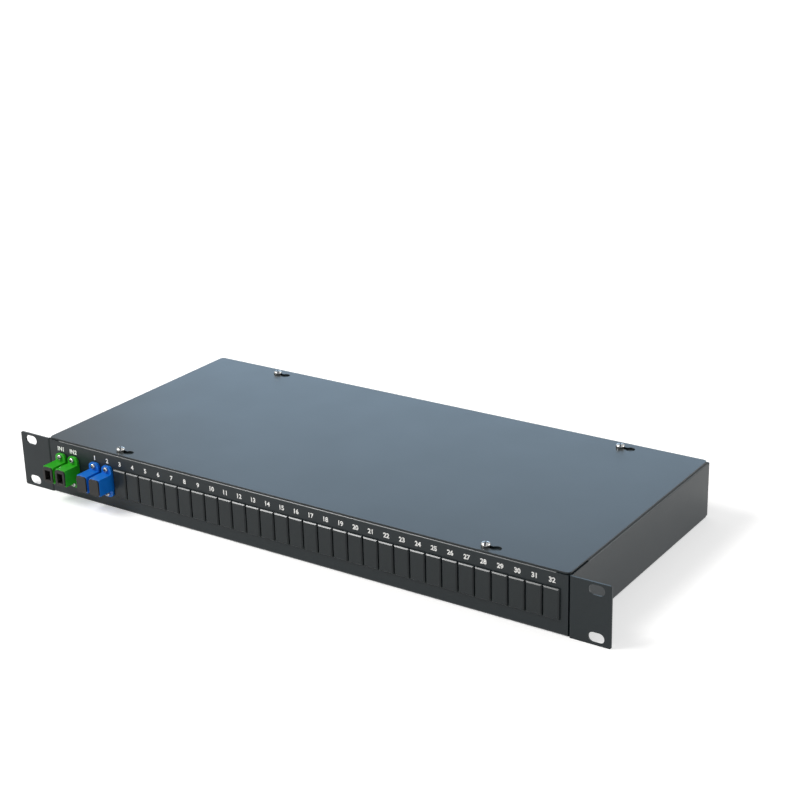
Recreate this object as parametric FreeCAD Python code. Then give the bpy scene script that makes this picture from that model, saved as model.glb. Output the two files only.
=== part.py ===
"""Rack-mounted fibre splitter tray, one rack unit high, in millimetres.

The origin is the centre of the four rack slots, on the rear faces of the two ears. +X is to the right as seen
from the front, +Y runs back into the rack and +Z is up. Every sub-part is built in place.
"""
import FreeCAD, Part
import math
import os

# Folded tray
ear_span = 485.0            # over both ears
body_width = 430.0          # over the side walls
body_depth = 200.0          # front face to rear face
tray_height = 41.8          # without the cover
sheet = 1.2
bend_radius = 0.5           # inside of every fold
corner_gap = 0.3            # between the edges of walls that meet at a corner
corner_relief = 2.2         # length that each corner leaves unfolded
raw_edge_drop = 0.4         # unfolded wall edges stop this far under the cover
ear_corner = 0.8            # chamfer

# Rack slots, to the rack standard
slot_pitch_x = 465.1
slot_pitch_z = 31.75
slot_length = 10.8
slot_width = 6.8

# Flanges that carry the cover
front_flange = 15.0         # each measured from the outer face of its wall
rear_flange = 15.0
side_flange = 13.0
front_flange_inset = 10.0   # free ends, measured from the outer faces of the side walls
rear_flange_inset = 17.0
side_flange_start = 23.6    # behind the front face

# Cover and its keyholes
cover_sheet = 1.2
cover_side_inset = 1.0
cover_front_inset = 0.6
cover_rear_inset = 1.0
cover_corner_radius = 3.0
cover_screw_pitch = 302.0
cover_screw_shift = 1.0     # their middle, right of the tray's middle
cover_screw_front = 7.0     # behind the front face
cover_screw_rear = 10.0     # ahead of the rear face
keyhole_travel = 7.7
keyhole_slot = 3.5          # width of the narrow end
keyhole_entry = 6.8         # diameter of the wide end

# Cover screws, turned into tapped holes in the flanges
cover_screw_diameter = 3.0
cover_screw_length = 6.0
cover_head_diameter = 6.2
cover_head_height = 2.6
thread_clearance = 0.05

# Port row
port_pitch = 12.0
input_count = 2
output_count = 32
input_gap = 21.0            # from the last input to the first output
fitted_outputs = 2

# Adapters
adapter_width = 9.3
adapter_height = 12.4
adapter_front = 14.5        # panel face to mouth
adapter_length = 27.4
adapter_flange_height = 23.6
adapter_flange_thickness = 2.0
adapter_flange_radius = 3.2
cutout_clearance = 0.2
socket_width = 7.6
socket_height = 9.6
socket_key_width = 2.6
socket_key_depth = 0.8
adapter_web = 1.6           # wall across the middle of the adapter
web_window_width = 5.6
web_window_height = 7.6

# Adapter screws, turned into tapped holes in the panel
port_screw_pitch = 18.4
port_screw_diameter = 2.0
port_screw_clearance = 0.1
port_screw_length = 6.0
port_head_diameter = 3.9
port_head_height = 1.5

# Sleeve holders
holder_tube = 4.4           # across flats
holder_bore = 2.55
holder_reach = 6.6          # each way from the web
arm_thickness = 0.7
arm_width = 2.4
arm_reach = 7.0
arm_hook = 0.3

# Dust plugs
plug_plate_width = 8.9
plug_plate_height = 12.0
plug_plate_thickness = 1.2
plug_plate_corner = 1.2     # chamfer
plug_depth = 10.5
plug_clearance = 0.15
plug_wall = 0.75
plug_pocket_width = 5.2
plug_pocket_height = 7.4
plug_pocket_depth = 5.0     # from the plate's face, inputs only
plug_floor = 1.0            # between the pocket and the rear hollow

# Blanks
blank_width = 11.2
blank_height = 21.0
blank_thickness = 1.8
blank_bevel = 0.8
blank_leg_thickness = 1.1
blank_leg_height = 8.0
blank_leg_length = 4.6      # behind the panel's rear face
blank_side_clearance = 0.15
blank_barb = 0.55           # beyond the edge of the cutout
blank_catch_gap = 0.05

# Splitter case, lid, chip and foam tape
case_length = 100.0         # along X
case_width = 80.0
case_height = 8.4
case_lid = 1.6
case_wall = 1.5
case_offset = 40.0          # its middle, left of the tray's middle
case_front = 86.5           # behind the front face
case_exit_inset = 8.0       # from the left end to the input exit, and on to the output exit
case_input_exit = 7.0
case_output_exit = 72.0
case_rim = 1.2              # depth that the lid plugs into the case
case_rim_clearance = 0.1
foam_thickness = 1.0
foam_margin = 4.0
chip_length = 50.0
chip_width = 7.0
chip_height = 4.0
chip_chamfer = 0.6
chip_rest_height = 1.2
chip_rest_width = 3.0

# Places worked out from the sizes above
panel_face = -sheet
body_rear = panel_face + body_depth
tray_top = tray_height / 2
tray_bottom = -tray_height / 2
floor_top = tray_bottom + sheet
fold_outer = bend_radius + sheet
half_body = body_width / 2
mouth = panel_face - adapter_front
adapter_middle = mouth + adapter_length / 2
port_span = (input_count + output_count - 2) * port_pitch + input_gap
input_x = [-port_span / 2 + i * port_pitch for i in range(input_count)]
output_x = [input_x[-1] + input_gap + i * port_pitch for i in range(output_count)]
fitted = [(f"in{i + 1}", x) for i, x in enumerate(input_x)]
fitted += [(f"out{i + 1}", x) for i, x in enumerate(output_x[:fitted_outputs])]
cover_screw_places = [
    (cover_screw_shift + side * cover_screw_pitch / 2, y)
    for side in (-1, 1)
    for y in (panel_face + cover_screw_front, body_rear - cover_screw_rear)
]
case_left = -case_offset - case_length / 2
case_y = panel_face + case_front
case_floor = floor_top + foam_thickness

X = FreeCAD.Vector(1, 0, 0)
Y = FreeCAD.Vector(0, 1, 0)
Z = FreeCAD.Vector(0, 0, 1)


def at(x, y, z):
    return FreeCAD.Vector(x, y, z)


def block(x0, x1, y0, y1, z0, z1):
    """A box between two corners."""
    return Part.makeBox(x1 - x0, y1 - y0, z1 - z0, at(x0, y0, z0))


def rod(diameter, start, direction, length):
    return Part.makeCylinder(diameter / 2, length, start, direction)


def edges_along(shape, axis, keep=lambda edge: True):
    """The straight edges of a shape that run along an axis."""
    found = []
    for edge in shape.Edges:
        if isinstance(edge.Curve, Part.Line) and abs(edge.tangentAt(edge.FirstParameter).dot(axis)) > 0.999:
            if keep(edge):
                found.append(edge)
    return found


def rounded_block(corners, axis, radius):
    """A box whose four edges along an axis are rounded."""
    solid = block(*corners)
    return solid.makeFillet(radius, edges_along(solid, axis))


def extruded(points, direction):
    return Part.Face(Part.makePolygon(points + points[:1])).extrude(direction)


def obround_cut(centre, length, width, y0, y1):
    """A slot along X with round ends, cut along Y."""
    x, z = centre
    reach = (length - width) / 2
    slot = block(x - reach, x + reach, y0, y1, z - width / 2, z + width / 2)
    ends = [rod(width, at(x + side * reach, y0, z), Y, y1 - y0) for side in (-1, 1)]
    return slot.fuse(ends)


def folded(points, to_space, direction):
    """A folded strip of the sheet: the middle line of its section, swept along the fold."""
    middle_radius = bend_radius + sheet / 2
    flat = [FreeCAD.Vector(u, v, 0) for u, v in points]
    sides = {1: [], -1: []}
    previous = {s: None for s in sides}
    last = len(flat) - 1
    for i in range(1, last + 1):
        heading = (flat[i] - flat[i - 1]).normalize()
        normal = Z.cross(heading)
        if previous[1] is None:
            previous = {s: flat[0] + normal * (s * sheet / 2) for s in sides}
        if i == last:
            for s in sides:
                sides[s].append(("line", previous[s], flat[i] + normal * (s * sheet / 2)))
            break
        after = (flat[i + 1] - flat[i]).normalize()
        turn = 1 if heading.cross(after).z > 0 else -1
        setback = middle_radius * math.tan(heading.getAngle(after) / 2)
        entry = flat[i] - heading * setback
        leave = flat[i] + after * setback
        centre = entry + normal * (turn * middle_radius)
        outward = (flat[i] - centre).normalize()
        for s in sides:
            begin = entry + normal * (s * sheet / 2)
            end = leave + Z.cross(after) * (s * sheet / 2)
            peak = centre + outward * (middle_radius - turn * s * sheet / 2)
            if begin.distanceToPoint(previous[s]) > 1e-6:
                sides[s].append(("line", previous[s], begin))
            sides[s].append(("arc", begin, peak, end))
            previous[s] = end
    outline = []
    for kind, *ends in sides[1] + sides[-1]:
        ends = [to_space(p.x, p.y) for p in ends]
        outline.append(Part.LineSegment(*ends) if kind == "line" else Part.Arc(*ends))
    for end in (0, -1):
        caps = [sides[s][end][1 if end == 0 else -1] for s in (1, -1)]
        outline.append(Part.LineSegment(*[to_space(p.x, p.y) for p in caps]))
    wire = Part.Wire(Part.__sortEdges__([curve.toShape() for curve in outline]))
    return Part.Face(wire).extrude(direction)


def make_base_tray():
    """Floor, panel, walls, flanges and ears: one punched and folded sheet."""
    half = sheet / 2
    wall_top = tray_top - fold_outer
    raw_top = tray_top - raw_edge_drop
    inner_half = half_body - sheet - corner_gap
    front_mid = panel_face + half
    rear_mid = body_rear - half
    side_mid = half_body - half
    floor_mid = tray_bottom + half

    def from_side(half_width):
        return lambda y, z: at(-half_width, y, z)

    trough = [(front_mid, wall_top), (front_mid, floor_mid), (rear_mid, floor_mid), (rear_mid, wall_top)]
    pieces = [folded(trough, from_side(inner_half), X * (2 * inner_half))]
    flanges = (
        (front_mid, panel_face + front_flange, half_body - front_flange_inset),
        (rear_mid, body_rear - rear_flange, half_body - rear_flange_inset),
    )
    for wall_mid, edge, half_width in flanges:
        section = [(wall_mid, wall_top - sheet), (wall_mid, tray_top - half), (edge, tray_top - half)]
        pieces.append(folded(section, from_side(half_width), X * (2 * half_width)))
        for side in (-1, 1):
            near, far = sorted((side * half_width, side * inner_half))
            pieces.append(block(near, far, wall_mid - half, wall_mid + half, wall_top, raw_top))
    for side in (-1, 1):
        pieces += side_wall(side, side_mid, wall_top, raw_top)
    tray = pieces[0].multiFuse(pieces[1:]).removeSplitter()

    cuts = []
    for side in (-1, 1):
        for level in (-1, 1):
            centre = (side * slot_pitch_x / 2, level * slot_pitch_z / 2)
            cuts.append(obround_cut(centre, slot_length, slot_width, panel_face - 1, 1))
    for x in input_x + output_x:
        cuts.append(port_cutout(x))
    for x, z in port_screw_places():
        cuts.append(rod(port_screw_diameter + 2 * thread_clearance, at(x, panel_face - 1, z), Y, sheet + 2))
    for x, y in cover_screw_places:
        hole = cover_screw_diameter + 2 * thread_clearance
        cuts.append(rod(hole, at(x, y, tray_top - sheet - 1), Z, sheet + 2))
    return tray.cut(cuts)


def side_wall(side, side_mid, wall_top, raw_top):
    """One side wall with its floor bend, its top flange and its ear."""
    half = sheet / 2
    fold_start = panel_face + corner_relief
    fold_length = body_depth - 2 * corner_relief
    floor_mid = tray_bottom + half
    foot = [(side * (side_mid - side_flange), floor_mid), (side * side_mid, floor_mid)]
    foot.append((side * side_mid, tray_bottom + fold_outer + sheet))
    flange_y = panel_face + side_flange_start
    flange_length = body_rear - sheet - corner_gap - flange_y
    flange = [(side * side_mid, wall_top - sheet), (side * side_mid, tray_top - half)]
    flange.append((side * (half_body - side_flange), tray_top - half))
    near, far = sorted((side * (half_body - sheet), side * half_body))
    flange_end = flange_y + flange_length
    ear = [(side * side_mid, fold_start), (side * side_mid, panel_face + half)]
    ear.append((side * ear_span / 2, panel_face + half))
    plate = folded(ear, lambda x, y: at(x, y, tray_bottom), Z * tray_height)
    outer = edges_along(plate, Y, lambda edge: abs(edge.CenterOfMass.x) > ear_span / 2 - 1e-6)
    return [
        folded(foot, lambda x, z: at(x, fold_start, z), Y * fold_length),
        folded(flange, lambda x, z: at(x, flange_y, z), Y * flange_length),
        block(near, far, fold_start, body_rear, tray_bottom + fold_outer, wall_top),
        block(near, far, fold_start, flange_y, wall_top, raw_top),
        block(near, far, flange_end, body_rear, wall_top, raw_top),
        plate.makeChamfer(ear_corner, outer),
    ]


def port_cutout(x):
    """The punched opening of one port."""
    half_width = adapter_width / 2 + cutout_clearance
    half_height = adapter_height / 2 + cutout_clearance
    return block(x - half_width, x + half_width, panel_face - 1, 1, -half_height, half_height)


def port_screw_places():
    return [(x, level * port_screw_pitch / 2) for name, x in fitted for level in (-1, 1)]


def make_cover():
    """A flat sheet with rounded corners and four keyholes that run along X."""
    corners = (
        cover_side_inset - half_body,
        half_body - cover_side_inset,
        panel_face + cover_front_inset,
        body_rear - cover_rear_inset,
        tray_top,
        tray_top + cover_sheet,
    )
    plate = rounded_block(corners, Z, cover_corner_radius)
    low = tray_top - 1
    depth = cover_sheet + 2
    cuts = []
    for x, y in cover_screw_places:
        cuts.append(rod(keyhole_slot, at(x, y, low), Z, depth))
        cuts.append(rod(keyhole_entry, at(x + keyhole_travel, y, low), Z, depth))
        cuts.append(block(x, x + keyhole_travel, y - keyhole_slot / 2, y + keyhole_slot / 2, low, low + depth))
    return plate.cut(cuts)


def screw(head_diameter, head_height, diameter, length):
    """A plain screw, the flat underside of its head at the origin, facing +Z."""
    head = rod(head_diameter, at(0, 0, 0), Z, head_height)
    return head.fuse(rod(diameter, at(0, 0, 0), -Z, length)).removeSplitter()


def placed(shape, position, rotation=FreeCAD.Rotation()):
    copy = shape.copy()
    copy.Placement = FreeCAD.Placement(position, rotation)
    return copy


def make_cover_screws():
    one = screw(cover_head_diameter, cover_head_height, cover_screw_diameter, cover_screw_length)
    top = tray_top + cover_sheet
    return [placed(one, at(x, y, top)) for x, y in cover_screw_places]


def make_adapter(x):
    """Moulded housing: tube, panel flange, two keyed sockets and the web between them."""
    rear = mouth + adapter_length
    half_width = adapter_width / 2
    half_height = adapter_height / 2
    half_flange = adapter_flange_height / 2
    back = panel_face
    front = back - adapter_flange_thickness
    tube = block(x - half_width, x + half_width, mouth, rear, -half_height, half_height)
    flange = rounded_block(
        (x - half_width, x + half_width, front, back, -half_flange, half_flange), Y, adapter_flange_radius
    )
    web_front = adapter_middle - adapter_web / 2
    web_rear = adapter_middle + adapter_web / 2
    cuts = []
    for y0, y1 in ((mouth - 1, web_front), (web_rear, rear + 1)):
        half_socket = socket_width / 2
        socket_top = socket_height / 2
        cuts.append(block(x - half_socket, x + half_socket, y0, y1, -socket_top, socket_top))
        half_key = socket_key_width / 2
        cuts.append(block(x - half_key, x + half_key, y0, y1, 0, socket_top + socket_key_depth))
    half_window = web_window_width / 2
    window_top = web_window_height / 2
    cuts.append(block(x - half_window, x + half_window, web_front - 1, web_rear + 1, -window_top, window_top))
    hole = port_screw_diameter + 2 * port_screw_clearance
    for level in (-1, 1):
        start = at(x, front - 1, level * port_screw_pitch / 2)
        cuts.append(rod(hole, start, Y, adapter_flange_thickness + 2))
    return tube.fuse(flange).cut(cuts).removeSplitter()


def make_dust_plug(x, with_pocket):
    """A plate that closes the mouth, on a hollow body that fits the socket."""
    half_plate = plug_plate_width / 2
    plate_top = plug_plate_height / 2
    half_body_width = socket_width / 2 - plug_clearance
    body_top = socket_height / 2 - plug_clearance
    face = mouth - plug_plate_thickness
    plate = block(x - half_plate, x + half_plate, face, mouth, -plate_top, plate_top)
    plate = plate.makeChamfer(plug_plate_corner, edges_along(plate, Y))
    body = block(x - half_body_width, x + half_body_width, mouth, mouth + plug_depth, -body_top, body_top)
    pocket_floor = face + plug_pocket_depth
    hollow_start = pocket_floor + plug_floor
    half_hollow = half_body_width - plug_wall
    hollow_top = body_top - plug_wall
    cuts = [
        block(x - half_hollow, x + half_hollow, hollow_start, mouth + plug_depth + 1, -hollow_top, hollow_top)
    ]
    if with_pocket:
        half_pocket = plug_pocket_width / 2
        pocket_top = plug_pocket_height / 2
        cuts.append(block(x - half_pocket, x + half_pocket, face - 1, pocket_floor, -pocket_top, pocket_top))
    return plate.fuse(body).cut(cuts).removeSplitter()


def make_adapter_screws():
    one = screw(port_head_diameter, port_head_height, port_screw_diameter, port_screw_length)
    facing_out = FreeCAD.Rotation(X, 90)
    front = panel_face - adapter_flange_thickness
    return [placed(one, at(x, front, z), facing_out) for x, z in port_screw_places()]


def make_sleeve_holders():
    """Latch inserts: a plate in the web's window, a bored tube through it and four hooked arms."""
    half_window = web_window_width / 2
    window_top = web_window_height / 2
    half_web = adapter_web / 2
    half_tube = holder_tube / 2
    reach = half_web + holder_reach
    plate = block(-half_window, half_window, -half_web, half_web, -window_top, window_top)
    tube = block(-half_tube, half_tube, -reach, reach, -half_tube, half_tube)
    arms = []
    for level in (-1, 1):
        outer = window_top
        inner = outer - arm_thickness
        tip = half_web + arm_reach
        for end in (-1, 1):
            arm = [
                at(-arm_width / 2, end * half_web, level * inner),
                at(-arm_width / 2, end * (tip - 2 * arm_thickness), level * inner),
                at(-arm_width / 2, end * (tip - arm_thickness), level * (inner - arm_hook)),
                at(-arm_width / 2, end * tip, level * inner),
                at(-arm_width / 2, end * tip, level * outer),
                at(-arm_width / 2, end * half_web, level * outer),
            ]
            arms.append(extruded(arm, X * arm_width))
    holder = plate.multiFuse([tube] + arms).removeSplitter()
    holder = holder.cut(rod(holder_bore, at(0, -reach - 1, 0), Y, 2 * reach + 2))
    return [placed(holder, at(x, adapter_middle, 0)) for name, x in fitted]


def make_splitter_case():
    """Shallow moulded box with two rests for the chip and two exits for the leads."""
    top = case_floor + case_height
    right = case_left + case_length
    rear = case_y + case_width
    inside = case_floor + case_wall
    shell = block(case_left, right, case_y, rear, case_floor, top)
    room = block(
        case_left + case_wall, right - case_wall, case_y + case_wall, rear - case_wall, inside, top + 1
    )
    middle_x = case_left + case_length / 2
    middle_y = case_y + case_width / 2
    half_chip = chip_width / 2
    rests = []
    for side in (-1, 1):
        low = middle_x + side * chip_length / 4 - chip_rest_width / 2
        rests.append(
            block(
                low, low + chip_rest_width, middle_y - half_chip, middle_y + half_chip,
                inside, inside + chip_rest_height,
            )
        )
    exits = []
    output_exit_start = 2 * case_exit_inset + case_input_exit
    for offset, width in ((case_exit_inset, case_input_exit), (output_exit_start, case_output_exit)):
        exits.append(
            block(
                case_left + offset, case_left + offset + width, case_y - 1, case_y + case_wall + 1,
                inside, top - case_wall,
            )
        )
    return shell.cut(room).multiFuse(rests).removeSplitter().cut(exits)


def make_splitter_lid():
    """Flat lid with a rim that plugs into the case."""
    low = case_floor + case_height
    right = case_left + case_length
    rear = case_y + case_width
    lid = block(case_left, right, case_y, rear, low, low + case_lid)
    outer = case_wall + case_rim_clearance
    inner = outer + case_wall
    rim = block(case_left + outer, right - outer, case_y + outer, rear - outer, low - case_rim, low)
    room = block(case_left + inner, right - inner, case_y + inner, rear - inner, low - case_rim, low)
    return lid.fuse(rim.cut(room)).removeSplitter()


def make_splitter_chip():
    middle_x = case_left + case_length / 2
    middle_y = case_y + case_width / 2
    low = case_floor + case_wall + chip_rest_height
    chip = block(
        middle_x - chip_length / 2, middle_x + chip_length / 2, middle_y - chip_width / 2,
        middle_y + chip_width / 2, low, low + chip_height,
    )
    return chip.makeChamfer(chip_chamfer, edges_along(chip, X))


def make_foam_tape():
    return block(
        case_left + foam_margin,
        case_left + case_length - foam_margin,
        case_y + foam_margin,
        case_y + case_width - foam_margin,
        floor_top,
        floor_top + foam_thickness,
    )


def make_blank(x):
    """Snap-in blank: a bevelled plate and two barbed legs through the cutout."""
    half_width = blank_width / 2
    half_height = blank_height / 2
    front = panel_face - blank_thickness
    plate = block(x - half_width, x + half_width, front, panel_face, -half_height, half_height)
    rim = [edge for edge in plate.Edges if abs(edge.CenterOfMass.y - front) < 1e-6]
    plate = plate.makeChamfer(blank_bevel, rim)
    half_cutout = adapter_width / 2 + cutout_clearance
    outer = half_cutout - blank_side_clearance
    inner = outer - blank_leg_thickness
    legs = []
    for side in (-1, 1):
        outline = [
            (inner, panel_face),
            (outer, panel_face),
            (outer, blank_catch_gap),
            (half_cutout + blank_barb, blank_catch_gap),
            (inner, blank_leg_length),
        ]
        points = [at(x + side * u, y, -blank_leg_height / 2) for u, y in outline]
        legs.append(extruded(points, Z * blank_leg_height))
    return plate.multiFuse(legs).removeSplitter()


def write(name, shapes):
    """Saves one sub-part, which is one solid or a group of like solids."""
    shapes = shapes if isinstance(shapes, list) else [shapes]
    for shape in shapes:
        if not shape.isValid() or len(shape.Solids) != 1:
            print(f"{name}: valid {shape.isValid()}, {len(shape.Solids)} solids")
    whole = shapes[0] if len(shapes) == 1 else Part.makeCompound(shapes)
    whole.exportStep(f"parts/{name}.step")


os.makedirs("parts", exist_ok=True)
write("base_tray", make_base_tray())
write("cover", make_cover())
write("cover_screws", make_cover_screws())
for port, port_x in fitted:
    write(f"adapter_{port}", make_adapter(port_x))
    write(f"dust_plug_{port}", make_dust_plug(port_x, port.startswith("in")))
write("adapter_screws", make_adapter_screws())
write("sleeve_holders", make_sleeve_holders())
write("splitter_case", make_splitter_case())
write("splitter_lid", make_splitter_lid())
write("splitter_chip", make_splitter_chip())
write("foam_tape", make_foam_tape())
for number in range(fitted_outputs + 1, output_count + 1):
    write(f"blank_{number:02d}", make_blank(output_x[number - 1]))
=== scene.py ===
"""Looks of a one-unit rack tray for a fibre splitter, in metres."""

import math

import bmesh
import bpy
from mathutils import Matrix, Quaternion, Vector


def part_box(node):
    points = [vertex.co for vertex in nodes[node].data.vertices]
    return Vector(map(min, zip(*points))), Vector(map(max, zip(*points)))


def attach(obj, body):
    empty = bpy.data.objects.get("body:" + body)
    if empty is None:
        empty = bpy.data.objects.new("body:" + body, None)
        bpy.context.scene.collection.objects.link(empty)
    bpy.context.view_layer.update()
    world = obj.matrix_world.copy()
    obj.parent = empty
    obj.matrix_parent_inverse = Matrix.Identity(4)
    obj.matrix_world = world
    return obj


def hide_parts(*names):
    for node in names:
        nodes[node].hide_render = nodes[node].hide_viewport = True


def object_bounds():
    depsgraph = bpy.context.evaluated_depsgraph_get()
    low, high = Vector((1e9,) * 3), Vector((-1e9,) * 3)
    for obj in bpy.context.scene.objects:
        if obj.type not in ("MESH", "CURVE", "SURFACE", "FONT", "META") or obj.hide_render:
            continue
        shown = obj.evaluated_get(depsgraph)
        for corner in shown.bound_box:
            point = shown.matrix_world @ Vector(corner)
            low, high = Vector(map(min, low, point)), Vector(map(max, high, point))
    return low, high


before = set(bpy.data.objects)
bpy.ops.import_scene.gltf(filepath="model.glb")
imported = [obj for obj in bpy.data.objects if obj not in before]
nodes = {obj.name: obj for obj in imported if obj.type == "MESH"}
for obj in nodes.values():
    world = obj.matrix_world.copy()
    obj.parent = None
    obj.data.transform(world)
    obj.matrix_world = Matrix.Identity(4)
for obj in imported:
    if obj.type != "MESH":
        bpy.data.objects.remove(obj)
cad_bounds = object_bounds()
mm = 0.001


# Camera: it stands to the right in front of the tray and looks down on it from half a metre up. The lens
# is a long one, so the tray's edges stay nearly parallel.
camera_place = Vector((0.6373, -0.7967, 0.4780))
camera_aim = Vector((0.0082, 0.1277, 0.0504))
camera_lean = math.radians(1.57)        # clockwise
camera_lens = 75.75
camera_data = bpy.data.cameras.new("camera")
camera_data.lens = camera_lens
camera_data.sensor_width = 36.0
camera = bpy.data.objects.new("camera", camera_data)
camera.location = camera_place
camera.rotation_mode = "QUATERNION"
level = (camera_aim - camera_place).to_track_quat("-Z", "Y")
camera.rotation_quaternion = level @ Quaternion((0, 0, 1), -camera_lean)
bpy.context.scene.collection.objects.link(camera)
bpy.context.scene.camera = camera
bpy.context.scene.view_settings.view_transform = "Standard"


# Studio: a pale floor under the tray, a white room, and soft boxes of light. The key light is high on the
# left in front, with a small one that picks out folds and bevels. A cool one stands low behind and shows
# in the cover, and a weak one fills the right. The small and the cool one show in reflections only.
room_light = 0.48                       # what the room adds to matt surfaces
floor_size = 12.0
floor_colour = (0.82, 0.82, 0.82, 1)
floor_glow = (0.42, 0.66)               # lifts the floor to white for the eye, less at the tray than far off
glow_reach = (0.7, 2.6)                 # metres from the tray's middle
soft_boxes = {
    # place, width, height, watts, colour, lights matt surfaces too
    "key_light": ((-1.45, -1.05, 2.0), 1.3, 0.7, 44.0, (1.0, 0.985, 0.96), True),
    "edge_light": ((-1.38, -1.0, 1.92), 0.6, 0.4, 50.0, (1.0, 1.0, 1.0), False),
    "cool_light": ((-1.12, 2.09, 0.68), 1.64, 1.25, 12.0, (0.36, 0.67, 1.0), False),
    "fill_light": ((1.9, 1.3, 0.55), 1.6, 1.0, 20.0, (1.0, 1.0, 1.0), True),
}


def node_of(tree, kind, **values):
    """Adds a shader node and sets its inputs and settings by name."""
    node = tree.nodes.new(kind)
    for name, value in values.items():
        title = name.replace("_", " ")
        if title in node.inputs:
            node.inputs[title].default_value = value
        else:
            setattr(node, name, value)
    return node


def seen_directly(tree):
    """1 for rays from the eye and in reflections or glass, 0 for light that falls on matt surfaces."""
    path = tree.nodes.new("ShaderNodeLightPath")
    either = node_of(tree, "ShaderNodeMath", operation="MAXIMUM")
    any_of = node_of(tree, "ShaderNodeMath", operation="MAXIMUM")
    tree.links.new(path.outputs["Is Camera Ray"], either.inputs[0])
    tree.links.new(path.outputs["Is Glossy Ray"], either.inputs[1])
    tree.links.new(either.outputs[0], any_of.inputs[0])
    tree.links.new(path.outputs["Is Transmission Ray"], any_of.inputs[1])
    return any_of.outputs[0]


world = bpy.data.worlds.new("white_room")
world.use_nodes = True
bpy.context.scene.world = world
background = world.node_tree.nodes["Background"]
background.inputs["Color"].default_value = (1, 1, 1, 1)
room = node_of(world.node_tree, "ShaderNodeMapRange", To_Min=room_light, To_Max=1.0)
world.node_tree.links.new(seen_directly(world.node_tree), room.inputs["Value"])
world.node_tree.links.new(room.outputs["Result"], background.inputs["Strength"])

floor_mesh = bpy.data.meshes.new("floor")
half = floor_size / 2
floor_corners = [(-half, -half, 0), (half, -half, 0), (half, half, 0), (-half, half, 0)]
floor_mesh.from_pydata(floor_corners, [], [(0, 1, 2, 3)])
floor = bpy.data.objects.new("floor", floor_mesh)
floor.location.z = cad_bounds[0][2]
bpy.context.scene.collection.objects.link(floor)
paint = bpy.data.materials.new("floor_paint")
paint.use_nodes = True
tree = paint.node_tree
shader = tree.nodes["Principled BSDF"]
shader.inputs["Base Color"].default_value = floor_colour
shader.inputs["Roughness"].default_value = 0.9
shader.inputs["Specular IOR Level"].default_value = 0.0
here = tree.nodes.new("ShaderNodeTexCoord")
away = node_of(tree, "ShaderNodeVectorMath", operation="LENGTH")
rise = node_of(tree, "ShaderNodeMapRange", interpolation_type="SMOOTHSTEP")
for title, value in zip(("From Min", "From Max", "To Min", "To Max"), glow_reach + floor_glow):
    rise.inputs[title].default_value = value
glow = tree.nodes.new("ShaderNodeEmission")
tree.links.new(here.outputs["Object"], away.inputs[0])
tree.links.new(away.outputs["Value"], rise.inputs["Value"])
tree.links.new(rise.outputs["Result"], glow.inputs["Strength"])
dark = node_of(tree, "ShaderNodeEmission", Strength=0.0)
chosen = tree.nodes.new("ShaderNodeMixShader")
both = tree.nodes.new("ShaderNodeAddShader")
tree.links.new(seen_directly(tree), chosen.inputs["Fac"])
tree.links.new(dark.outputs[0], chosen.inputs[1])
tree.links.new(glow.outputs[0], chosen.inputs[2])
tree.links.new(shader.outputs[0], both.inputs[0])
tree.links.new(chosen.outputs[0], both.inputs[1])
tree.links.new(both.outputs[0], tree.nodes["Material Output"].inputs["Surface"])
floor_mesh.materials.append(paint)

for name, (place, width, height, watts, colour, lights_matt) in soft_boxes.items():
    lamp = bpy.data.lights.new(name, "AREA")
    lamp.shape = "RECTANGLE"
    lamp.size = width
    lamp.size_y = height
    lamp.energy = watts
    lamp.color = colour
    box = bpy.data.objects.new(name, lamp)
    box.location = place
    box.rotation_euler = (-Vector(place)).to_track_quat("-Z", "Y").to_euler()
    box.visible_camera = False
    box.visible_diffuse = lights_matt
    bpy.context.scene.collection.objects.link(box)


# Tray: 1.2 mm steel sheet, punched, folded and powder coated in a fine matt black. The coat has the slight
# orange peel and the tiny grain of baked powder. It eases the edges of the sheet, apart from the ends of
# the folds and the rims of the small holes.
coat_colour = (0.011, 0.017, 0.020)
coat_roughness = 0.34
coat_shine = 0.30                       # of the usual 0.5 for plastics
coat_edge = 0.16                        # millimetres
fold_room = 0.34                        # millimetres: the arcs of folds and small holes have shorter edges
weld_reach = 1e-6                       # metres
flat_angle = math.radians(0.5)          # faces that meet at less are one
sharp_angle = 0.6                       # radians: corners from here on are eased, and shaded as corners
ease_steps = 3


def shader_group(name, inputs, outputs):
    """An empty shader node group with named inputs (and their usual values) and outputs."""
    group = bpy.data.node_groups.new(name, "ShaderNodeTree")
    for title, value in inputs.items():
        socket = group.interface.new_socket(title, in_out="INPUT", socket_type="NodeSocketFloat")
        socket.default_value = value
    for title in outputs:
        group.interface.new_socket(title, in_out="OUTPUT", socket_type="NodeSocketFloat")
    return group, group.nodes.new("NodeGroupInput"), group.nodes.new("NodeGroupOutput")


def noise_of(tree, size_socket, share, detail):
    """Noise whose lumps are a share of the given size in millimetres."""
    place = tree.nodes.new("ShaderNodeTexCoord")
    per_metre = node_of(tree, "ShaderNodeMath", operation="DIVIDE")
    per_metre.inputs[0].default_value = 1 / (share * mm)
    tree.links.new(size_socket, per_metre.inputs[1])
    noise = node_of(tree, "ShaderNodeTexNoise", Detail=detail)
    tree.links.new(place.outputs["Object"], noise.inputs["Vector"])
    tree.links.new(per_metre.outputs[0], noise.inputs["Scale"])
    return noise.outputs["Fac"]


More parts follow.
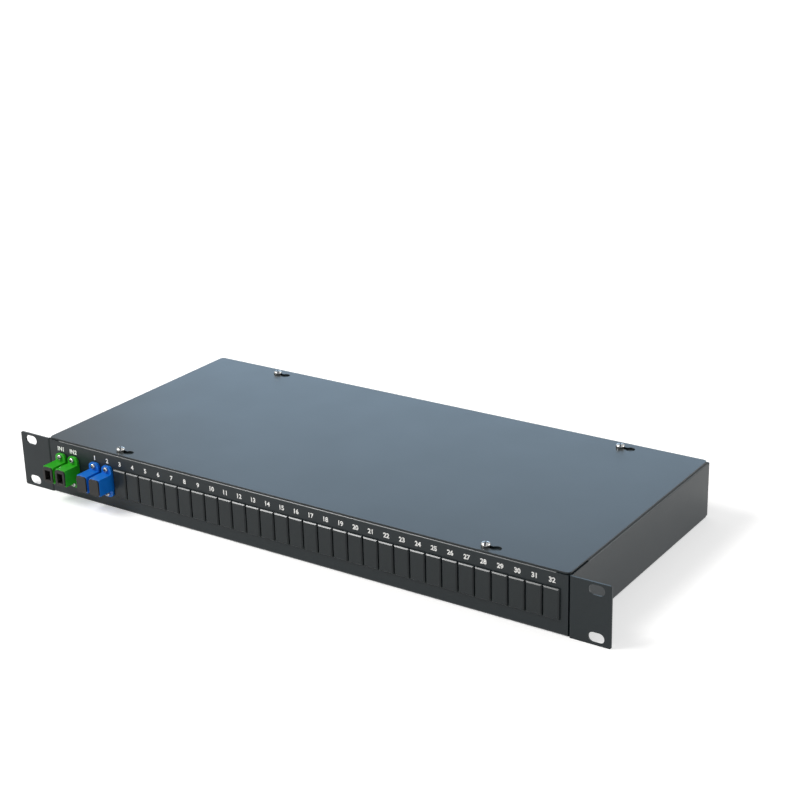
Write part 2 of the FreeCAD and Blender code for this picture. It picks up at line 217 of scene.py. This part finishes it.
def spread(tree, source, amount_socket):
    """1 plus or minus an amount, from noise."""
    centred = node_of(tree, "ShaderNodeMath", operation="SUBTRACT")
    centred.inputs[1].default_value = 0.5
    doubled = node_of(tree, "ShaderNodeMath", operation="MULTIPLY")
    one = node_of(tree, "ShaderNodeMath", operation="MULTIPLY_ADD")
    one.inputs[1].default_value = 2.0
    one.inputs[2].default_value = 1.0
    tree.links.new(source, centred.inputs[0])
    tree.links.new(centred.outputs[0], doubled.inputs[0])
    tree.links.new(amount_socket, doubled.inputs[1])
    tree.links.new(doubled.outputs[0], one.inputs[0])
    return one.outputs[0]


grain, grain_in, grain_out = shader_group(
    "surface_grain",
    {"Lump size mm": 1.0, "Tone spread": 0.05, "Gloss spread": 0.1},
    ("Height", "Tone", "Gloss"),
)
lumps = noise_of(grain, grain_in.outputs["Lump size mm"], share=1.0, detail=3.0)
patches = noise_of(grain, grain_in.outputs["Lump size mm"], share=40.0, detail=2.0)
grain.links.new(lumps, grain_out.inputs["Height"])
grain.links.new(spread(grain, lumps, grain_in.outputs["Tone spread"]), grain_out.inputs["Tone"])
grain.links.new(spread(grain, patches, grain_in.outputs["Gloss spread"]), grain_out.inputs["Gloss"])


def finish(name, colour, roughness, lump, depth, tone, gloss, metallic=0.0, shine=0.5):
    """A material with its own colour and grain. lump and depth of the grain are in millimetres."""
    material = bpy.data.materials.new(name)
    material.use_nodes = True
    tree = material.node_tree
    shader = tree.nodes["Principled BSDF"]
    shader.inputs["Metallic"].default_value = metallic
    shader.inputs["Specular IOR Level"].default_value = shine
    surface = tree.nodes.new("ShaderNodeGroup")
    surface.node_tree = grain
    surface.inputs["Lump size mm"].default_value = lump
    surface.inputs["Tone spread"].default_value = tone
    surface.inputs["Gloss spread"].default_value = gloss
    tint = node_of(tree, "ShaderNodeVectorMath", operation="SCALE")
    tint.inputs[0].default_value = colour
    tree.links.new(surface.outputs["Tone"], tint.inputs["Scale"])
    tree.links.new(tint.outputs[0], shader.inputs["Base Color"])
    rough = node_of(tree, "ShaderNodeMath", operation="MULTIPLY")
    rough.inputs[1].default_value = roughness
    tree.links.new(surface.outputs["Gloss"], rough.inputs[0])
    tree.links.new(rough.outputs[0], shader.inputs["Roughness"])
    bump = node_of(tree, "ShaderNodeBump", Strength=1.0, Distance=depth * mm)
    tree.links.new(surface.outputs["Height"], bump.inputs["Height"])
    tree.links.new(bump.outputs[0], shader.inputs["Normal"])
    return material


def dress(node, material):
    for place in nodes[node].material_slots:
        place.material = material


def shade(mesh, sharp):
    """Shades a mesh smooth, apart from edges whose faces meet at the angle sharp or more."""
    for face in mesh.faces:
        face.smooth = True
    for edge in mesh.edges:
        edge.smooth = len(edge.link_faces) == 2 and edge.calc_face_angle() < sharp


def eased(node, width, material, body, room=0.0):
    """A copy of a piece with its outer corners rounded off, width in millimetres.

    A corner that meets an edge shorter than room, in millimetres, stays sharp, or it would narrow them all.
    """
    mesh = bmesh.new()
    mesh.from_mesh(nodes[node].data)
    bmesh.ops.remove_doubles(mesh, verts=mesh.verts, dist=weld_reach)
    bmesh.ops.dissolve_limit(mesh, angle_limit=flat_angle, verts=mesh.verts, edges=mesh.edges)
    tight = {v for e in mesh.edges if e.calc_length() < room * mm for v in e.verts}
    paired = [e for e in mesh.edges if len(e.link_faces) == 2 and tight.isdisjoint(e.verts)]
    corners = [e for e in paired if e.is_convex and e.calc_face_angle() > sharp_angle]
    bmesh.ops.bevel(
        mesh,
        geom=corners,
        offset=width * mm,
        segments=ease_steps,
        profile=0.5,
        affect="EDGES",
        clamp_overlap=True,
    )
    shade(mesh, sharp_angle)
    data = bpy.data.meshes.new(node)
    mesh.to_mesh(data)
    mesh.free()
    rough = bpy.data.objects.new(f"{node}_rough", data)
    bpy.context.scene.collection.objects.link(rough)
    flat = rough.modifiers.new("flat_faces", "WEIGHTED_NORMAL")
    flat.keep_sharp = True
    made = bpy.data.meshes.new_from_object(rough.evaluated_get(bpy.context.evaluated_depsgraph_get()))
    bpy.data.objects.remove(rough)
    made.materials.clear()
    made.materials.append(material)
    piece = bpy.data.objects.new(f"{node}_eased", made)
    bpy.context.scene.collection.objects.link(piece)
    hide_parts(node)
    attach(piece, body)
    return piece


powder_coat = finish(
    "powder_coat", coat_colour, coat_roughness, lump=0.9, depth=0.012, tone=0.10, gloss=0.08, shine=coat_shine
)
eased("base_tray", coat_edge, powder_coat, "chassis", fold_room)


# Cover: a flat sheet of the same steel and coat, punched with four keyholes. Four screws hold it, and when
# they are loose it slides sideways and lifts off.
eased("cover", coat_edge, powder_coat, "cover")


# Adapters: glass-filled moulded housings with a flange for two screws, green for the inputs and blue for
# the outputs. The mould leaves a fine satin grain and slightly rounded edges.
green = finish(
    "green_housing", (0.022, 0.390, 0.010), 0.32, lump=0.5, depth=0.006, tone=0.06, gloss=0.10, shine=0.35
)
blue = finish(
    "blue_housing", (0.003, 0.160, 0.640), 0.32, lump=0.5, depth=0.006, tone=0.06, gloss=0.10, shine=0.35
)
ports = {"in1": green, "in2": green, "out1": blue, "out2": blue}
adapter_edge = 0.18                     # millimetres
adapter_room = 0.2                      # millimetres: the rims under the screw heads have shorter edges
for port, plastic in ports.items():
    eased(f"adapter_{port}", adapter_edge, plastic, "chassis", adapter_room)


# Sleeve holders: moulded inserts of natural white plastic, one in the middle of each adapter. Hooked arms
# hold the plugs of the leads, and a bored tube lines the ferrules up.
natural = finish("natural_plastic", (0.74, 0.73, 0.68), 0.38, lump=0.8, depth=0.004, tone=0.03, gloss=0.08)
dress("sleeve_holders", natural)


# Dust plugs: soft black plastic with a fine spark-eroded grain, each a plate on a hollow body. The plates
# of the input plugs have a pocket.
plug_black = finish(
    "plug_black", (0.017, 0.016, 0.015), 0.42, lump=0.35, depth=0.012, tone=0.12, gloss=0.10, shine=0.30
)
plug_edge = 0.12
for port in ports:
    eased(f"dust_plug_{port}", plug_edge, plug_black, f"dust_plug_{port}")


# Blanks: bevelled black plates of moulded plastic, a little smoother than the coat. They snap into the
# unused ports and their faces stand proud of the panel.
blank_black = finish(
    "blank_black", (0.014, 0.019, 0.021), 0.32, lump=0.6, depth=0.006, tone=0.08, gloss=0.10, shine=0.28
)
blanks = sorted(name for name in nodes if name.startswith("blank_"))
blank_edge = 0.12
for blank in blanks:
    eased(blank, blank_edge, blank_black, "chassis")


# Cover screws: zinc-plated M3 pan heads with a cross recess and a slot through it, in one mesh for all
# four. The thread is turned as rings of the true pitch, and the recess is dull and painted near black as
# shade.
cover_screw_head = (6.2, 2.6)           # diameter and height, millimetres
cover_screw_shank = (3.0, 6.0, 0.5)     # diameter, length and pitch, millimetres
zinc_colour = (0.46, 0.46, 0.45)
# painted shade: the faces of the cross and slot recesses are coloured near black, far darker than the zinc
painted_recess_shade = (0.06, 0.06, 0.06)
cover_screw_turns = (0.62, 0.75, 0.40, 0.50)                # radians
end_form = (0.80, 0.30)                 # flat end, in shank radii, and the pitches from it to the thread
thread_form = ((0.82, 0.0), (0.99, 0.45), (0.99, 0.55))     # one turn, in shank radii and pitches
neck_form = (0.85, 0.40)                # plain neck under the head, in shank radii and pitches
rim_form = ((0.97, 0.0), (0.995, 0.05), (0.995, 0.42))      # in head radii and head heights
crown_form = (0.35, 0.99, 0.9)          # flat middle, in head radii, height, in head heights, and fall
crown_peak = 0.995                      # head heights
crown_steps = 10
cross_form = (0.70, 0.20, 0.62, 0.35)   # reach, half width, in head radii, depth, in head heights, taper
slot_form = (1.10, 0.17, 0.50, 1.00)
cutter_rise = 0.2                       # of its depth, over the head
screw_sharp = math.radians(32)          # corners from here on are shaded as corners


def turned(profile, turns=48):
    """A bmesh turned about Z from a profile of (radius, height), which starts and ends on the axis."""
    mesh = bmesh.new()
    rings = []
    for radius, height in profile:
        if radius == 0:
            rings.append([mesh.verts.new((0, 0, height))])
            continue
        angles = [2 * math.pi * i / turns for i in range(turns)]
        rings.append([mesh.verts.new((radius * math.cos(a), radius * math.sin(a), height)) for a in angles])
    for low, high in zip(rings, rings[1:]):
        for i in range(turns):
            j = (i + 1) % turns
            corners = [low[i % len(low)], low[j % len(low)], high[j % len(high)], high[i % len(high)]]
            mesh.faces.new(list(dict.fromkeys(corners)))
    bmesh.ops.recalc_face_normals(mesh, faces=mesh.faces)
    return mesh


def cross_outline(reach, wing):
    outline = []
    for quarter in range(4):
        turn = math.pi / 2 * quarter
        for x, y in ((wing, wing), (wing, reach), (-wing, reach)):
            outline.append((x * math.cos(turn) - y * math.sin(turn), x * math.sin(turn) + y * math.cos(turn)))
    return outline


def slot_outline(reach, wing):
    return [(-wing, -reach), (wing, -reach), (wing, reach), (-wing, reach)]


def cutter(outline, top, depth, taper):
    """A block of the given outline that cuts a recess into a head and narrows to a share of it below."""
    mesh = bmesh.new()
    over = [mesh.verts.new((x, y, top + depth * cutter_rise)) for x, y in outline]
    deep = [mesh.verts.new((x * taper, y * taper, top - depth)) for x, y in outline]
    mesh.faces.new(over)
    mesh.faces.new(list(reversed(deep)))
    for i in range(len(outline)):
        j = (i + 1) % len(outline)
        mesh.faces.new((over[j], over[i], deep[i], deep[j]))
    bmesh.ops.recalc_face_normals(mesh, faces=mesh.faces)
    # the cut faces take the second material, the recess's painted shade
    for face in mesh.faces:
        face.material_index = 1
    return mesh


def as_object(name, mesh, *materials):
    data = bpy.data.meshes.new(name)
    mesh.to_mesh(data)
    mesh.free()
    for material in materials:
        data.materials.append(material)
    thing = bpy.data.objects.new(name, data)
    bpy.context.scene.collection.objects.link(thing)
    return thing


def screw_mesh(name, head, shank):
    """One pan head screw with its seat at the origin, facing +Z, sizes in millimetres."""
    head_radius, head_height = head[0] / 2 * mm, head[1] * mm
    shank_radius, shank_length, pitch = shank[0] / 2 * mm, shank[1] * mm, shank[2] * mm
    profile = [(0, -shank_length), (end_form[0] * shank_radius, -shank_length)]
    crests = int((shank_length - pitch) / pitch)
    for i in range(crests):
        low = -shank_length + end_form[1] * pitch + i * pitch
        profile += [(radius * shank_radius, low + height * pitch) for radius, height in thread_form]
    profile += [(neck_form[0] * shank_radius, height) for height in (-neck_form[1] * pitch, 0)]
    profile += [(radius * head_radius, height * head_height) for radius, height in rim_form]
    rim, shoulder = rim_form[-1]
    middle, top, fall = crown_form
    for i in range(1, crown_steps + 1):
        a = math.pi / 2 * i / crown_steps
        radius = middle + (rim - middle) * math.cos(a)
        height = shoulder + (top - shoulder) * math.sin(a) ** fall
        profile.append((radius * head_radius, height * head_height))
    profile.append((0, crown_peak * head_height))
    body = as_object(name, turned(profile), zinc, zinc_recess_painted_shade)
    cutters = []
    for outline, (reach, wing, depth, taper) in ((cross_outline, cross_form), (slot_outline, slot_form)):
        form = outline(reach * head_radius, wing * head_radius)
        block = as_object("cutter", cutter(form, head_height, depth * head_height, taper), zinc, zinc_recess_painted_shade)
        cut = body.modifiers.new("cut", "BOOLEAN")
        cut.object = block
        cut.operation = "DIFFERENCE"
        cut.solver = "EXACT"
        cutters.append(block)
    made = bpy.data.meshes.new_from_object(body.evaluated_get(bpy.context.evaluated_depsgraph_get()))
    for thing in [body] + cutters:
        bpy.data.objects.remove(thing)
    return made


def screw_group(name, one, places, facing, turns):
    """All screws of one kind in a single piece, each turned a little differently."""
    whole = bmesh.new()
    for place, turn in zip(places, turns):
        added = bmesh.new()
        added.from_mesh(one)
        matrix = facing.to_matrix().to_4x4() @ Quaternion((0, 0, 1), turn).to_matrix().to_4x4()
        matrix.translation = place
        added.transform(matrix)
        step = bpy.data.meshes.new("step")
        added.to_mesh(step)
        added.free()
        whole.from_mesh(step)
        bpy.data.meshes.remove(step)
    shade(whole, screw_sharp)
    return as_object(name, whole, zinc, zinc_recess_painted_shade)


zinc = finish("zinc_plate", zinc_colour, 0.22, lump=0.25, depth=0.003, tone=0.08, gloss=0.20, metallic=1.0)
# dark zinc for the faces of the recesses: painted shade
zinc_recess_painted_shade = finish(
    "zinc_recess_painted_shade", painted_recess_shade, 0.45, lump=0.25, depth=0.003, tone=0.15, gloss=0.20, metallic=1.0
)
low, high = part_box("cover_screws")
head_radius = cover_screw_head[0] / 2 * mm
seat = high[2] - cover_screw_head[1] * mm
places = [
    Vector((x, y, seat))
    for x in (low[0] + head_radius, high[0] - head_radius)
    for y in (low[1] + head_radius, high[1] - head_radius)
]
one = screw_mesh("cover_screw", cover_screw_head, cover_screw_shank)
cover_screws = screw_group("cover_screws_turned", one, places, Quaternion(), cover_screw_turns)
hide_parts("cover_screws")
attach(cover_screws, "chassis")


# Adapter screws: zinc-plated M2 pan heads, two through each adapter's flange into tapped holes in the
# panel. They are made as the cover screws are, in one mesh for all eight.
port_screw_head = (3.9, 1.5)
port_screw_shank = (2.0, 6.0, 0.4)
port_screw_turn = (0.4, 1.3)            # of the first one, and from each to the next, radians
low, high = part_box("adapter_screws")
port_radius = port_screw_head[0] / 2 * mm
seat = low[1] + port_screw_head[1] * mm
places = []
for port in ports:
    side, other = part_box(f"adapter_{port}")
    x = (side[0] + other[0]) / 2
    places += [Vector((x, seat, z)) for z in (low[2] + port_radius, high[2] - port_radius)]
one = screw_mesh("port_screw", port_screw_head, port_screw_shank)
outward = Quaternion((1, 0, 0), math.pi / 2)
turns = [port_screw_turn[0] + port_screw_turn[1] * i for i in range(len(places))]
port_screws = screw_group("adapter_screws_turned", one, places, outward, turns)
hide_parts("adapter_screws")
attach(port_screws, "chassis")


# Port numbers: white ink printed on the coat above each port. It lies a few hundredths of a millimetre
# thick, and its edges slope where it ran out a little.
number_height = 3.2 * mm
number_level = 14.9 * mm                # middle of the figures above the tray's middle
ink_thickness = 0.03 * mm
ink_weld = 0.0005 * mm                  # closes the seams of the built-in letters
ink_boldness = 0.040                    # of the letter size: a slope of ink round the letters
letter_share = 0.70                     # height of a capital in the built-in letters
ink = finish("white_ink", (0.92, 0.92, 0.90), 0.50, lump=0.3, depth=0.004, tone=0.04, gloss=0.10)
panel_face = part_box("base_tray")[0][1]
captions = [(name.upper(), f"adapter_{name}") for name in ("in1", "in2")]
captions += [("1", "adapter_out1"), ("2", "adapter_out2")]
captions += [(str(int(name[-2:])), name) for name in blanks]
print_mesh = bmesh.new()
for text, carrier in captions:
    letters = bpy.data.curves.new("letters", "FONT")
    letters.body = text
    letters.size = number_height / letter_share
    letters.align_x = "CENTER"
    letters.align_y = "CENTER"
    letters.bevel_depth = ink_boldness * letters.size
    letters.bevel_resolution = 0
    written = bpy.data.objects.new("letters", letters)
    low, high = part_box(carrier)
    written.location = ((low[0] + high[0]) / 2, panel_face - ink_thickness / 2, number_level)
    written.rotation_euler = (math.pi / 2, 0, 0)
    written.scale.z = ink_thickness / 2 / letters.bevel_depth
    bpy.context.scene.collection.objects.link(written)
    bpy.context.view_layer.update()
    flat = bpy.data.meshes.new_from_object(written.evaluated_get(bpy.context.evaluated_depsgraph_get()))
    flat.transform(written.matrix_world)
    print_mesh.from_mesh(flat)
    bpy.data.meshes.remove(flat)
    bpy.data.objects.remove(written)
bmesh.ops.remove_doubles(print_mesh, verts=print_mesh.verts, dist=ink_weld)
bmesh.ops.recalc_face_normals(print_mesh, faces=print_mesh.faces)
numbers = as_object("port_numbers", print_mesh, ink)
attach(numbers, "chassis")


# Splitter case, lid, chip and tape: a black moulded box with a lid, stuck to the tray's floor with foam
# tape. The splitter chip in its steel case rests inside, and the cover hides them all.
case_black = finish("case_black", (0.030, 0.030, 0.032), 0.50, lump=0.5, depth=0.015, tone=0.10, gloss=0.08)
chip_steel = finish(
    "chip_steel", (0.60, 0.60, 0.59), 0.32, lump=0.4, depth=0.003, tone=0.06, gloss=0.2, metallic=1.0
)
foam = finish("foam_tape", (0.060, 0.060, 0.060), 0.90, lump=0.6, depth=0.15, tone=0.30, gloss=0.05)
case_edge = 0.4
for node in ("splitter_case", "splitter_lid"):
    eased(node, case_edge, case_black, "chassis")
dress("splitter_chip", chip_steel)
dress("foam_tape", foam)
